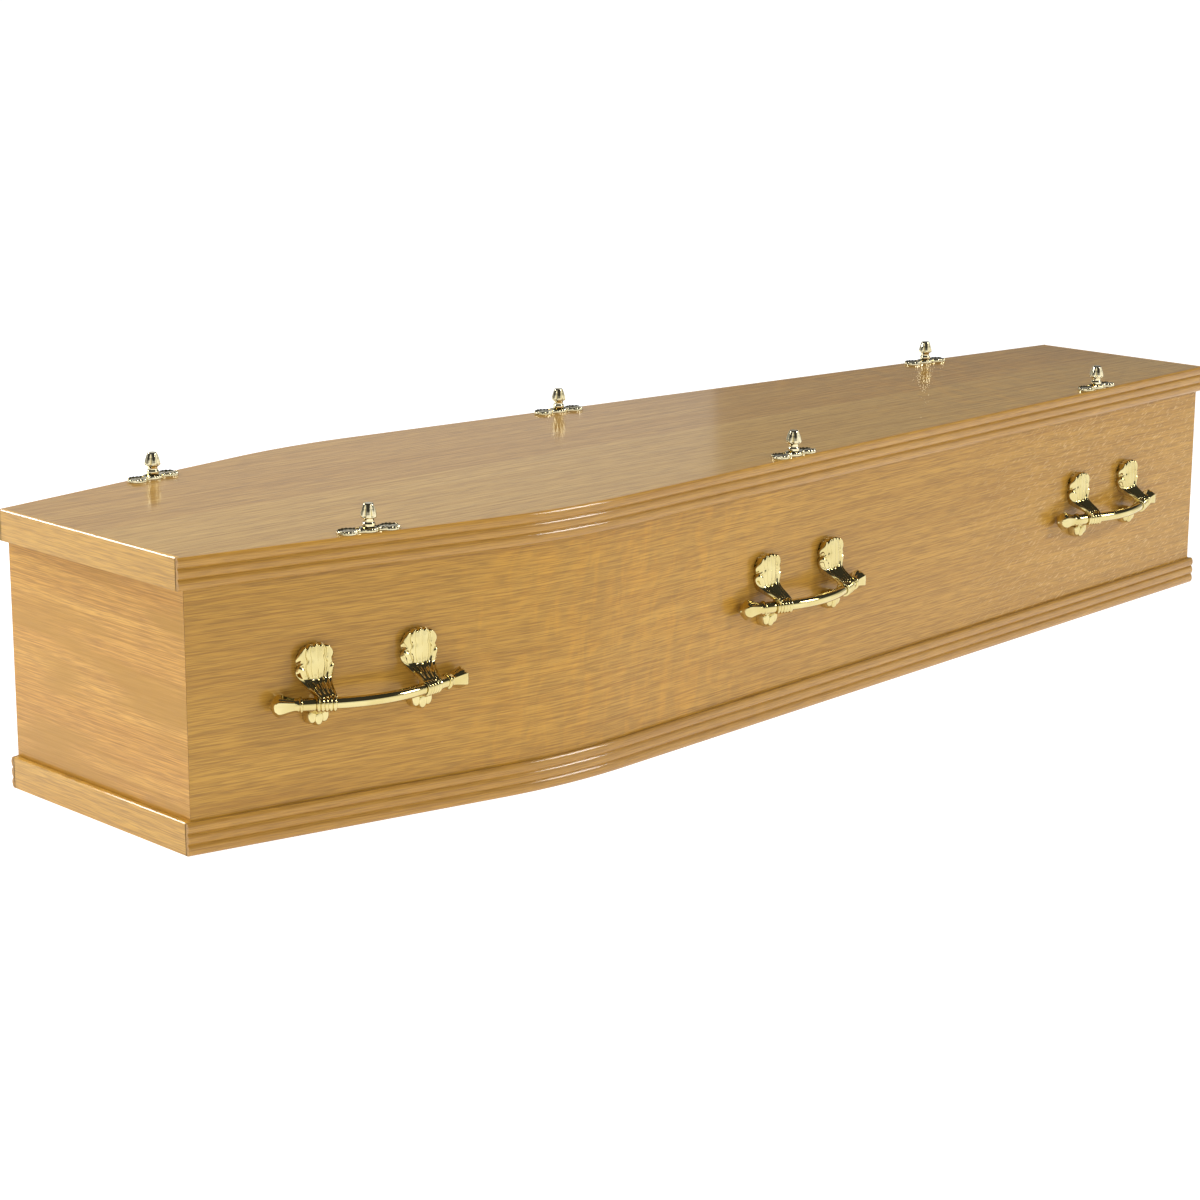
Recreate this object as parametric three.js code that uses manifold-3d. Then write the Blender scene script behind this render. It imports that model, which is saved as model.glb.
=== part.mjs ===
// Oak-veneered coffin with a lift-off lid, beaded mouldings, bar handles and lid screws.
// Millimetres, +Z up. The head end is at -X, the foot end at +X, and the origin is on the floor under the middle.

import * as THREE from 'three';
import { mergeVertices } from 'three/addons/utils/BufferGeometryUtils.js';
import Module from 'manifold-3d';

const wasm = await Module();
wasm.setup();

// Body, measured over the outside of its boards
const insideLength = 1880;
const endThickness = 16;
const headWidth = 346;
const shoulderWidth = 530;
const footWidth = 296;
const shoulderAt = 484; // from the outside of the head end
const bendRadius = 700; // outside of the sawn-and-bent shoulder
const bendSteps = 6;
const bodyHeight = 322;
const sideThickness = 16;
const baseThickness = 16;

// Clearance left between pieces that meet
const fitGap = 0.3;

// Lid, which reaches a little past the body so that its moulding slips over the sides
const lidThickness = 16;
const lidSideOverlap = 1.2;
const lidEndOverlap = 3;

// Round the lid and round the base: beaded moulding along the sides, and a flat strip across each end
const mouldingThickness = 6.5;
const beadRelief = 2.8;
const beadCount = 3;
const beadSteps = 3;
const lidMouldingHeight = 37;
const baseMouldingHeight = 38;
const endStripThickness = 6.5;
const endStripEase = 1; // cut off the upper front edge of a strip

// Where the handles and the lid screws stand along the coffin, from the outside of the head end
const handleStations = { head: 211, middle: 922, foot: 1649 };
const screwStations = { head: 230, middle: 920, foot: 1637 };

// Bar handle
const handleHeight = 158; // floor to the middle of the bar
const bracketSpacing = 133;
const standOff = 31.5; // panel to the middle of the bar, at the brackets
const barRadius = 6.8;
const barSplay = 20; // degrees that the bar's ends turn in towards the panel
const barSteps = 6;
const barSides = 8;
const barRingAt = 26.5; // from the middle of a bracket, along the bar
const barRingWidth = 4;
const barRingRadius = 9.6;
const finialLength = 33;
const finialNeckRadius = 8.2;
const finialRadius = 13.3;
const finialTipRadius = 2;

// Handle bracket: a fluted leaf, a ribbed collar round the bar and a three-lobed foot
const collarWidth = 23;
const collarRadius = 9.7;
const collarGroove = 0.9;
const collarRibs = 1;
const collarSides = 8;
const boreClearance = 0.3;
const leafTop = 66; // above the middle of the bar
const leafHalfWidth = 24.5;
const leafNeckHalfWidth = 11.5;
const leafNeckReach = 5; // middle of the bar to the front of the leaf's neck
const leafRim = 7; // panel to the leaf's upper rim
const leafLobes = 5;
const leafFluteDepth = 1.3;
const leafCrown = 4.5;
const footDrop = 32; // middle of the bar to the foot's lowest point
const footLobeRadius = 6.8;
const footLobeSteps = 3;
const footDepth = 15;
const armHalfWidth = 8;

// Lid screw: an ornamental plate with a fluted thumbscrew through it
const screwInset = 8; // from the outside of the side panel to the middle of the screw
const plateLength = 79;
const plateHalfWidth = 12.8;
const plateRim = 2.9;
const plateCrown = 1.3;
const plateBoss = 5.6;
const plateWaist = 0.58; // share of the half-width left between the shells and the boss
const plateStations = 10;
const knobHeight = 26;
const knobRadius = 10.1;
const knobTopRadius = 5.6;
const knobNeckRadius = 6.4;
const knobFootRadius = 7.6;
const knobPetals = 6;
const knobFluteDepth = 1.4;
const shankRadius = 3;
const shankClearance = 0.4;
const shankGrip = 22; // how far the screw goes into the side panel
const shankSides = 6;

// Sizes that follow from the ones above
const bodyLength = insideLength + 2 * endThickness;
const lidUnderside = bodyHeight + fitGap;
const lidTop = lidUnderside + lidThickness;
// Moving a mitred end along the end panel by this leaves the fit gap, or a hair more, square to the mitre
const mitreGap = fitGap * Math.SQRT2;

// One side in plan, at y > 0: straight from the head end, an arc at the shoulder, straight to the foot end
const shoulder = new THREE.Vector2(shoulderAt, shoulderWidth / 2);
const headNormal = new THREE.Vector2((headWidth - shoulderWidth) / 2, shoulderAt).normalize();
const footNormal = new THREE.Vector2((shoulderWidth - footWidth) / 2, bodyLength - shoulderAt).normalize();
const bendCentre = headNormal.clone().add(footNormal)
  .multiplyScalar(-bendRadius / (1 + headNormal.dot(footNormal))).add(shoulder);

// Point at x on the straight whose outward normal is given, moved outwards by offset
function onStraight(normal, offset, x) {
  const start = normal.clone().multiplyScalar(bendRadius + offset).add(bendCentre);
  return new THREE.Vector2(x, start.y - (normal.x / normal.y) * (x - start.x));
}

// Plan of a side moved outwards by offset, from xHead to xFoot, with the arc in equal steps
function sidePlan(offset, xHead, xFoot) {
  const from = headNormal.angle();
  const to = footNormal.angle();
  const points = [onStraight(headNormal, offset, xHead)];
  for (let i = 0; i <= bendSteps; i++) {
    const angle = from + ((to - from) * i) / bendSteps;
    const radius = bendRadius + offset;
    points.push(new THREE.Vector2(Math.cos(angle), Math.sin(angle)).multiplyScalar(radius).add(bendCentre));
  }
  points.push(onStraight(footNormal, offset, xFoot));
  return points;
}

const acrossPlan = (p) => new THREE.Vector2(p.x, -p.y);

// Outline of a board with both sides moved outwards by offset
function boardShape(offset, xHead, xFoot) {
  const side = sidePlan(offset, xHead, xFoot);
  return new THREE.Shape([...side.map(acrossPlan), ...side.reverse()]);
}

function extrudeUp(shape, bottom, top) {
  const geometry = new THREE.ExtrudeGeometry(shape, { depth: top - bottom, bevelEnabled: false });
  return geometry.translate(0, 0, bottom);
}

// A closed body through rings of points, with its ends closed; flat maps a ring's point to the plane of its cap
function loft(rings, flat) {
  const count = rings[0].length;
  const positions = rings.flat().flatMap((p) => [p.x, p.y, p.z]);
  const index = [];
  for (let r = 0; r + 1 < rings.length; r++) {
    for (let i = 0; i < count; i++) {
      const a = r * count + i;
      const b = r * count + ((i + 1) % count);
      index.push(a, b, b + count, a, b + count, a + count);
    }
  }
  const last = (rings.length - 1) * count;
  const capOf = (ring) => {
    const outline = ring.map(flat);
    const clockwise = THREE.ShapeUtils.isClockWise(outline);
    return THREE.ShapeUtils.triangulateShape(outline, []).map((t) => (clockwise ? [t[0], t[2], t[1]] : t));
  };
  for (const [a, b, c] of capOf(rings[0])) index.push(a, c, b);
  for (const [a, b, c] of capOf(rings[rings.length - 1])) index.push(last + a, last + b, last + c);
  return facesOut(bodyOf(positions, index));
}

function bodyOf(positions, index) {
  const geometry = new THREE.BufferGeometry();
  geometry.setAttribute('position', new THREE.Float32BufferAttribute(positions, 3));
  geometry.setIndex(index);
  return geometry;
}

// Turns a closed body's faces round if its volume comes out negative
function facesOut(geometry) {
  const p = geometry.getAttribute('position');
  const index = geometry.getIndex();
  const [a, b, c] = [new THREE.Vector3(), new THREE.Vector3(), new THREE.Vector3()];
  let volume = 0;
  for (let i = 0; i < index.count; i += 3) {
    a.fromBufferAttribute(p, index.getX(i));
    b.fromBufferAttribute(p, index.getX(i + 1));
    c.fromBufferAttribute(p, index.getX(i + 2));
    volume += a.dot(b.cross(c));
  }
  if (volume < 0) geometry.setIndex([...index.array].reverse());
  return geometry;
}

// Joining and cutting closed bodies
function toSolid(geometry) {
  const bare = geometry.clone();
  bare.deleteAttribute('normal');
  bare.deleteAttribute('uv');
  const merged = mergeVertices(bare, 1e-4);
  return new wasm.Manifold(new wasm.Mesh({
    numProp: 3,
    vertProperties: new Float32Array(merged.getAttribute('position').array),
    triVerts: new Uint32Array(merged.getIndex().array),
  }));
}

function fromSolid(solid) {
  const mesh = solid.getMesh();
  return bodyOf([...mesh.vertProperties], [...mesh.triVerts]);
}

// A straight many-sided rod between two heights, for shanks and their holes
function rod(radius, bottom, top) {
  const geometry = new THREE.CylinderGeometry(radius, radius, top - bottom, shankSides);
  return geometry.rotateX(Math.PI / 2).translate(0, 0, (bottom + top) / 2);
}

// Finishes: satin oak veneer, polished brass and bright plate
const finishes = {
  oak: { color: 0xc08c48, roughness: 0.45, metalness: 0 },
  oakEdge: { color: 0xb8823f, roughness: 0.45, metalness: 0 },
  brass: { color: 0xd9b65c, roughness: 0.15, metalness: 1 },
  plate: { color: 0xe8dfc0, roughness: 0.12, metalness: 1 },
};

const coffin = new THREE.Group();
const model = new THREE.Group();
model.position.x = -bodyLength / 2;
coffin.add(model);

function add(name, geometry, finish, parent = model) {
  const mesh = new THREE.Mesh(geometry, new THREE.MeshStandardMaterial(finishes[finish]));
  mesh.name = name;
  parent.add(mesh);
}

// Place of a screw on the centre line of a side panel's top edge, at y > 0
function screwPlace(x) {
  const normal = x < shoulderAt ? headNormal : footNormal;
  return { at: onStraight(normal, -screwInset, x), normal };
}

// Boards of the body, mitred where a side meets an end so that no edge shows
function sidePanel() {
  const outer = sidePlan(0, 0, bodyLength);
  const inner = sidePlan(-sideThickness, endThickness, bodyLength - endThickness);
  let panel = toSolid(extrudeUp(new THREE.Shape([...inner, ...outer.reverse()]), 0, bodyHeight));
  for (const x of Object.values(screwStations)) {
    const { at } = screwPlace(x);
    const hole = rod(shankRadius + shankClearance, bodyHeight - shankGrip - 1, bodyHeight + 1);
    panel = panel.subtract(toSolid(hole.translate(at.x, at.y, 0)));
  }
  return fromSolid(panel);
}

function endPanel(xOut, xIn) {
  const normal = xOut < shoulderAt ? headNormal : footNormal;
  const corners = [onStraight(normal, 0, xOut), onStraight(normal, -sideThickness, xIn)];
  for (const corner of corners) corner.y -= mitreGap;
  const shape = new THREE.Shape([...corners, ...corners.map(acrossPlan).reverse()]);
  return extrudeUp(shape, 0, bodyHeight);
}

// The base board lies inside the four walls
function baseBoard() {
  const inset = endThickness + fitGap;
  return extrudeUp(boardShape(-sideThickness - fitGap, inset, bodyLength - inset), 0, baseThickness);
}

function lidBoard() {
  const shape = boardShape(lidSideOverlap, -lidEndOverlap, bodyLength + lidEndOverlap);
  for (const x of Object.values(screwStations)) {
    for (const side of [1, -1]) {
      const { at } = screwPlace(x);
      const hole = new THREE.Path();
      for (let i = 0; i < shankSides; i++) {
        const angle = (-2 * Math.PI * i) / shankSides;
        const radius = shankRadius + shankClearance;
        const point = [at.x + radius * Math.sin(angle), side * at.y + radius * Math.cos(angle)];
        if (i === 0) hole.moveTo(...point);
        else hole.lineTo(...point);
      }
      hole.closePath();
      shape.holes.push(hole);
    }
  }
  return extrudeUp(shape, lidUnderside, lidTop);
}

// Moulding profile: flat back, flat top and bottom, and rounded beads one above the other, as [out, up] pairs
function beadedProfile(height) {
  const pitch = height / beadCount;
  const radius = (pitch * pitch / 4 + beadRelief * beadRelief) / (2 * beadRelief);
  const half = Math.asin(pitch / 2 / radius);
  const points = [[0, 0]];
  for (let bead = 0; bead < beadCount; bead++) {
    for (let i = bead ? 1 : 0; i <= beadSteps; i++) {
      const angle = half * ((2 * i) / beadSteps - 1);
      const out = mouldingThickness - radius * (1 - Math.cos(angle));
      points.push([out, pitch * (bead + 0.5) + radius * Math.sin(angle)]);
    }
  }
  return [...points, [0, height]];
}

// Side moulding: its back lies at offset from the side's face, and it runs past the end strips, flush with them
function sideMoulding(offset, endOffset, bottom, height) {
  const reach = endOffset + endStripThickness;
  const ring = beadedProfile(height);
  const plans = ring.map(([out]) => sidePlan(offset + out, -reach, bodyLength + reach));
  const rings = plans[0].map((_, station) =>
    ring.map(([, up], i) => new THREE.Vector3(plans[i][station].x, plans[i][station].y, bottom + up)));
  return loft(rings, (p) => new THREE.Vector2(p.y, p.z));
}

// Flat strip across an end, fitted between the backs of the two side mouldings
function endStrip(offset, xEnd, outward, bottom, height) {
  const normal = outward < 0 ? headNormal : footNormal;
  const profile = [[0, 0], [endStripThickness, 0], [endStripThickness, height - endStripEase],
    [endStripThickness - endStripEase, height], [0, height]];
  const rings = [1, -1].map((side) => profile.map(([out, up]) => {
    const x = xEnd + outward * out;
    const y = onStraight(normal, offset, x).y - fitGap;
    return new THREE.Vector3(x, side * y, bottom + up);
  }));
  return loft(rings, (p) => new THREE.Vector2(p.x, p.z));
}

function mirrored(geometry) {
  return facesOut(mergeVertices(withoutShading(geometry.clone().scale(1, -1, 1)), 1e-4));
}

function withoutShading(geometry) {
  geometry.deleteAttribute('normal');
  geometry.deleteAttribute('uv');
  return geometry;
}

function addMouldings(name, sideOffset, endOffset, bottom, height) {
  const side = sideMoulding(sideOffset, endOffset, bottom, height);
  add(`${name}_left`, side, 'oakEdge');
  add(`${name}_right`, mirrored(side), 'oakEdge');
  add(`${name}_head`, endStrip(sideOffset, -endOffset, -1, bottom, height), 'oakEdge');
  add(`${name}_foot`, endStrip(sideOffset, bodyLength + endOffset, 1, bottom, height), 'oakEdge');
}

// Handle bar: straight through each bracket and on to its finial, with an arc bowed outwards between the brackets.
// In the handle's own frame X runs along the panel, Y outwards from it and Z up, with the bar at y = 0 in the brackets.
const halfSpacing = bracketSpacing / 2;
const barTurn = THREE.MathUtils.degToRad(barSplay);
const straightIn = collarWidth / 2 + 1;
const barArcRadius = (halfSpacing - straightIn * Math.cos(barTurn)) / Math.sin(barTurn);

// Middle of the bar and its direction, at a length measured from the middle of the right bracket
function barPoint(past) {
  const along = new THREE.Vector3(Math.cos(barTurn), -Math.sin(barTurn), 0);
  return { at: new THREE.Vector3(halfSpacing, 0, 0).addScaledVector(along, past), along };
}

function barRing(at, along, radius, turn = 0) {
  const across = new THREE.Vector3(-along.y, along.x, 0);
  return Array.from({ length: barSides }, (_, i) => {
    const angle = (2 * Math.PI * (i + turn)) / barSides;
    return at.clone().addScaledVector(across, radius * Math.cos(angle))
      .add(new THREE.Vector3(0, 0, radius * Math.sin(angle)));
  });
}

// Finial, from its ring to its tip: [share of its length, radius]
const finialProfile = [
  [0, finialNeckRadius],
  [0.7, finialRadius],
  [0.9, 0.36 * finialRadius],
  [1, finialTipRadius],
];

function barGeometry() {
  const ringEnd = barRingAt + barRingWidth;
  const end = [
    [barRingAt, barRadius],
    [barRingAt + 0.2 * barRingWidth, barRingRadius],
    [ringEnd - 0.2 * barRingWidth, barRingRadius],
    ...finialProfile.map(([share, radius]) => [ringEnd + share * finialLength, radius]),
  ];
  const half = end.map(([past, radius]) => {
    const { at, along } = barPoint(past);
    return barRing(at, along, radius);
  });
  const middle = [];
  for (let i = 0; i <= barSteps; i++) {
    const angle = barTurn * ((2 * i) / barSteps - 1);
    const at = new THREE.Vector3(Math.sin(angle), Math.cos(angle) - Math.cos(barTurn), 0);
    at.multiplyScalar(barArcRadius).y += straightIn * Math.sin(barTurn);
    middle.push(barRing(at, new THREE.Vector3(Math.cos(angle), -Math.sin(angle), 0), barRadius));
  }
  const across = (ring) => ring.map((p) => new THREE.Vector3(-p.x, p.y, p.z));
  const rings = [...half.map(across).reverse(), ...middle, ...half];
  return loft(rings, (p) => new THREE.Vector2(p.y, p.z));
}

// The bore's flats clear the bar's corners
const boreRadius = (barRadius + boreClearance) / Math.cos(Math.PI / collarSides);

// Ribbed collar round the bar, along X
function collarGeometry() {
  const profile = [new THREE.Vector2(boreRadius, -collarWidth / 2)];
  const cuts = 2 * collarRibs;
  for (let i = 0; i <= cuts; i++) {
    const radius = collarRadius - (i % 2 ? 0 : collarGroove);
    profile.push(new THREE.Vector2(radius, collarWidth * (i / cuts - 0.5)));
  }
  profile.push(new THREE.Vector2(boreRadius, collarWidth / 2), profile[0].clone());
  const ring = new THREE.LatheGeometry(profile, collarSides);
  return ring.rotateZ(-Math.PI / 2);
}

// Leaf: rows from the neck at the collar up to the scalloped top, each a fluted, crowned front and a flat back.
// Each row is [share of the height, share of the full half-width, how far the front stands off the panel].
const leafRows = [
  [0.1, leafNeckHalfWidth / leafHalfWidth, 1],
  [0.2, 0.53, 0.74],
  [0.3, 0.72, 0.36],
  [0.43, 0.97, 0.12],
  [0.68, 0.95, 0.03],
  [0.84, 0.86, 0],
];

function leafGeometry() {
  const samples = 2 * leafLobes;
  const neckFront = standOff + leafNeckReach;
  const rings = leafRows.map(([up, wide, out], row) => {
    const ring = [];
    const last = row === leafRows.length - 1;
    for (let i = 0; i <= samples; i++) {
      const u = (2 * i) / samples - 1;
      const ridge = i % 2 ? 1 : 0;
      const fan = last ? (1 - up) * Math.sqrt(Math.max(0, 1 - u * u)) + (ridge - 0.5) * 0.04 : 0;
      const front = leafRim + (neckFront - leafRim) * out + leafCrown * (1 - u * u) * (1 - out);
      const y = front + leafFluteDepth * (ridge - 1) - standOff;
      ring.push(new THREE.Vector3(u * wide * leafHalfWidth, y, leafTop * (up + fan)));
    }
    const back = fitGap - standOff + (row < 2 ? (neckFront - 12) * out * out : 0);
    for (const u of [1, -1]) ring.push(new THREE.Vector3(u * wide * leafHalfWidth * 0.8, back, leafTop * up));
    return ring;
  });
  return loft(rings, (p) => new THREE.Vector2(p.x, p.y + 0.001 * p.z));
}

// Arm from the back of the collar to the panel, and the three-lobed foot that stands out of the panel below it
function armGeometry() {
  const back = fitGap - standOff;
  const side = new THREE.Shape([
    new THREE.Vector2(back, 0.35 * leafTop),
    new THREE.Vector2(back, -0.6 * footDrop),
    new THREE.Vector2(back + footDepth, -0.6 * footDrop),
    new THREE.Vector2(0, -0.85 * collarRadius),
    new THREE.Vector2(0, 0.85 * collarRadius),
    new THREE.Vector2(-0.35 * standOff, 0.25 * leafTop),
  ]);
  const arm = new THREE.ExtrudeGeometry(side, { depth: 2 * armHalfWidth, bevelEnabled: false });
  // The shape's own plane is turned so that its first axis runs outwards and its second runs up
  return arm.applyMatrix4(new THREE.Matrix4().makeBasis(
    new THREE.Vector3(0, 1, 0), new THREE.Vector3(0, 0, 1), new THREE.Vector3(1, 0, 0),
  )).translate(-armHalfWidth, 0, 0);
}

function footGeometry() {
  const outline = [];
  const middle = footLobeRadius * 1.15;
  const lobes = [[-middle, 0.9 * footLobeRadius], [0, 0], [middle, 0.9 * footLobeRadius]];
  const arcs = [[Math.PI * 0.75, Math.PI * 1.55], [Math.PI * 1.15, Math.PI * 1.85], [Math.PI * 1.45, Math.PI * 2.25]];
  lobes.forEach(([x, z], lobe) => {
    for (let i = 0; i <= footLobeSteps; i++) {
      const angle = arcs[lobe][0] + ((arcs[lobe][1] - arcs[lobe][0]) * i) / footLobeSteps;
      outline.push(new THREE.Vector2(x + footLobeRadius * Math.cos(angle), z + footLobeRadius * Math.sin(angle)));
    }
  });
  const foot = new THREE.ExtrudeGeometry(new THREE.Shape(outline), { depth: footDepth, bevelEnabled: false });
  return foot.rotateX(Math.PI / 2)
    .translate(0, footDepth + fitGap - standOff, footLobeRadius - footDrop);
}

// The whole bracket, with the bar's passage cut through its collar; turn is +1 on the right and -1 on the left
function bracketGeometry(turn) {
  const collar = toSolid(collarGeometry().rotateZ(-turn * barTurn));
  const bore = new THREE.CylinderGeometry(boreRadius, boreRadius, 2 * collarWidth, collarSides)
    .rotateZ(-Math.PI / 2 - turn * barTurn);
  const body = toSolid(leafGeometry()).add(toSolid(armGeometry())).add(toSolid(footGeometry()));
  return fromSolid(body.subtract(toSolid(bore)).add(collar));
}

// Ornamental plate of a lid screw, along X: two scalloped shells and a round boss in the middle
function plateGeometry() {
  const half = plateLength / 2;
  const hole = shankRadius + shankClearance;
  const bell = (x, centre, width) => Math.exp(-(((x - centre) / width) ** 2));
  const rings = Array.from({ length: plateStations + 1 }, (_, i) => {
    const x = half * ((2 * i) / plateStations - 1);
    const s = Math.abs(x) / half;
    const taper = Math.sqrt(Math.max(0.02, 1 - s ** 8));
    const scallop = i % 2 ? 1 : 0.93;
    const flare = (1 - plateWaist) * (bell(s, 0.72, 0.24) + bell(s, 0, 0.2));
    const wide = plateHalfWidth * (plateWaist + flare);
    const w = wide * taper * scallop;
    const crown = plateRim + plateCrown * bell(s, 0.7, 0.25) + (plateBoss - plateRim) * bell(s, 0, 0.24);
    const rows = [[-1, 0], [-1, plateRim], [-0.55, 0.5 * (plateRim + crown)], [0, crown],
      [0.55, 0.5 * (plateRim + crown)], [1, plateRim], [1, 0]];
    const low = Math.max(0.3, taper);
    return rows.map(([u, up]) => new THREE.Vector3(x, u * w, up * low));
  });
  const plate = loft(rings, (p) => new THREE.Vector2(p.y, p.z));
  return fromSolid(toSolid(plate).subtract(toSolid(rod(hole, -1, plateBoss * 2))));
}

// Thumbscrew: a fluted tulip knob on a foot, with its shank below z = 0
function thumbscrewGeometry() {
  const around = 2 * knobPetals;
  const foot = plateBoss + fitGap;
  // [share of the height, radius, share of the flute depth]
  const profile = [
    [0, knobFootRadius, 0],
    [0.14, knobFootRadius, 0],
    [0.24, knobNeckRadius, 0],
    [0.42, knobRadius, 1],
    [0.68, 0.87 * knobRadius, 1],
    [0.97, knobTopRadius + 0.5, 0.4],
    [1, knobTopRadius, 0.2],
  ];
  const rings = profile.map(([share, radius, flute]) => Array.from({ length: around }, (_, i) => {
    const angle = (2 * Math.PI * i) / around;
    const r = radius - (i % 2 ? flute * knobFluteDepth : 0);
    return new THREE.Vector3(r * Math.cos(angle), r * Math.sin(angle), foot + share * knobHeight);
  }));
  const knob = loft(rings, (p) => new THREE.Vector2(p.x, p.y));
  const shank = rod(shankRadius, -lidThickness - 2 * fitGap - shankGrip + 1, foot + 0.1 * knobHeight);
  return fromSolid(toSolid(knob).add(toSolid(shank)));
}

// Both sides: side is +1 on the left of someone lying face up, and -1 on the right
function addHandle(name, x, side) {
  const normal = x < shoulderAt ? headNormal : footNormal;
  const at = onStraight(normal, standOff, x);
  const place = new THREE.Group();
  place.position.set(at.x, side * at.y, handleHeight);
  place.rotation.z = Math.atan2(side * normal.y, normal.x) - Math.PI / 2;
  model.add(place);
  add(`handle_bar_${name}`, barGeometry(), 'brass', place);
  for (const end of [1, -1]) {
    const bracket = new THREE.Group();
    bracket.position.x = end * halfSpacing;
    place.add(bracket);
    // The end towards the coffin's head is numbered 1
    add(`handle_bracket_${name}_${end * side < 0 ? 1 : 2}`, bracketGeometry(end), 'brass', bracket);
  }
}

function addLidScrew(name, x, side) {
  const { at, normal } = screwPlace(x);
  const place = new THREE.Group();
  place.position.set(at.x, side * at.y, lidTop + fitGap);
  place.rotation.z = Math.atan2(side * normal.y, normal.x) - Math.PI / 2;
  model.add(place);
  add(`lid_plate_${name}`, plateGeometry(), 'plate', place);
  add(`thumbscrew_${name}`, thumbscrewGeometry(), 'plate', place);
}

add('base_board', baseBoard(), 'oak');
add('side_panel_left', sidePanel(), 'oak');
add('side_panel_right', mirrored(sidePanel()), 'oak');
add('head_panel', endPanel(0, endThickness), 'oak');
add('foot_panel', endPanel(bodyLength, bodyLength - endThickness), 'oak');
addMouldings('base_moulding', fitGap, fitGap, 0, baseMouldingHeight);
add('lid_board', lidBoard(), 'oak');
addMouldings('lid_moulding', lidSideOverlap + fitGap, lidEndOverlap + fitGap,
  lidTop - lidMouldingHeight, lidMouldingHeight);
for (const [hand, side] of [['left', 1], ['right', -1]]) {
  for (const station of Object.keys(handleStations)) {
    addHandle(`${hand}_${station}`, handleStations[station], side);
    addLidScrew(`${hand}_${station}`, screwStations[station], side);
  }
}

export default coffin;
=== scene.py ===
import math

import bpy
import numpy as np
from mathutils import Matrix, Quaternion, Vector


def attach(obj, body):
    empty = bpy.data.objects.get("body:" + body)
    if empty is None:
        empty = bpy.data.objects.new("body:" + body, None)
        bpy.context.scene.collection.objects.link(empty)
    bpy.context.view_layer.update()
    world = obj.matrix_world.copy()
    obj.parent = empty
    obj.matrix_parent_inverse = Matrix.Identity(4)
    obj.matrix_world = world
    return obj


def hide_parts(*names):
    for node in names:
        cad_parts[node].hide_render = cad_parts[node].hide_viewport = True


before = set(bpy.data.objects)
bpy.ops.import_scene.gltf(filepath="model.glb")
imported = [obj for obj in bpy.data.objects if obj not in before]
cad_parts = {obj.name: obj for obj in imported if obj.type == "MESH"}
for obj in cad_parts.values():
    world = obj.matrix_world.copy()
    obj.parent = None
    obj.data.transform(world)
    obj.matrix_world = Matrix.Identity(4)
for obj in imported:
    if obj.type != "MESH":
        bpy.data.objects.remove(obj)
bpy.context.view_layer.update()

# %% [markdown]
# # An oak-veneered coffin
# This lesson dresses a finished set of solids. The solids give every size and place. Here each of them
# gets a finer surface in its place and a finish like the real one: lacquered oak veneer on the boards,
# beaded oak mouldings and flat strips round the lid and the base, polished brass handles, and pale gold lid
# screws.
# Lengths are worked out in millimetres and turned to metres when a mesh is made.

MM = 0.001

# %% [markdown]
# ## The camera
# The photograph looks at the head end from the front left and from above, through a long lens. Its place
# was worked out from the coffin's corners. The camera stands at a distance from a point that it aims at,
# in a direction given by an azimuth and an elevation, and then rolls a little about its own axis.

# %% The camera
CAMERA_AZIMUTH = -43.72
CAMERA_ELEVATION = 13.60
CAMERA_ROLL = 0.19
CAMERA_DISTANCE = 3795.7
CAMERA_TARGET = (-166.7, 0.0, 129.3)
CAMERA_LENS = 86.1

azimuth, elevation = math.radians(CAMERA_AZIMUTH), math.radians(CAMERA_ELEVATION)
back = Vector((math.sin(azimuth) * math.cos(elevation), -math.cos(azimuth) * math.cos(elevation),
               math.sin(elevation)))
camera = bpy.data.objects.new("camera", bpy.data.cameras.new("camera"))
bpy.context.scene.collection.objects.link(camera)
camera.data.sensor_width = 36
camera.data.lens = CAMERA_LENS
camera.data.clip_end = 200
camera.location = (Vector(CAMERA_TARGET) + back * CAMERA_DISTANCE) * MM
camera.rotation_mode = "QUATERNION"
camera.rotation_quaternion = Quaternion(back, math.radians(CAMERA_ROLL)) @ (-back).to_track_quat("-Z", "Y")
bpy.context.scene.camera = camera
print("camera at", [round(v, 3) for v in camera.location])

# %% [markdown]
# ## Sizes
# These are the sizes that the solids were made to, so that each finer surface lies on its solid.

# %% Sizes, in millimetres
BODY_LENGTH, HEAD_WIDTH, SHOULDER_WIDTH, FOOT_WIDTH = 1912.0, 346.0, 530.0, 296.0
SHOULDER_AT, BEND_RADIUS = 484.0, 700.0
BODY_HEIGHT, BOARD, GAP = 322.0, 16.0, 0.3
LID_BOTTOM, LID_TOP = 322.3, 338.3
LID_SIDE_OVERLAP, LID_END_OVERLAP = 1.2, 3.0
MOULDING_OUT, BEAD_RELIEF, BEADS = 6.3, 2.6, 3
STRIP_OUT, STRIP_EDGE, STRIP_JOINT = 6.4, 1.0, 0.05
LID_BAND, BASE_BAND = 37.0, 38.0
PANEL_EDGE_ROUND, END_EDGE_ROUND = 0.6, 0.5
HANDLES_AT = {"head": 211.0, "middle": 922.0, "foot": 1649.0}
SCREWS_AT = {"head": 230.0, "middle": 920.0, "foot": 1637.0}
HANDLE_HEIGHT, BRACKET_SPACING, STAND_OFF = 158.0, 133.0, 31.5
BAR_RADIUS, BAR_SPLAY, COLLAR_WIDTH = 6.68, math.radians(20), 23.0
SCREW_INSET = 8.0
print("body in mm:", BODY_LENGTH, "long,", SHOULDER_WIDTH, "wide at the shoulder,", BODY_HEIGHT, "high")

# %% [markdown]
# ## Making a mesh from arrays
# Every piece here is a closed surface, worked out as a grid of points. Numpy works out a whole grid at
# once, and each size stays in its formula, which modelling by hand would lose. A grid becomes quads by
# joining each point to its neighbours. A ring that closes on itself wraps round. The faces are then turned
# outwards all together: the volume inside a closed surface is the sum of the little pyramids from the
# origin to each face, and it comes out negative if they face inwards.

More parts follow.
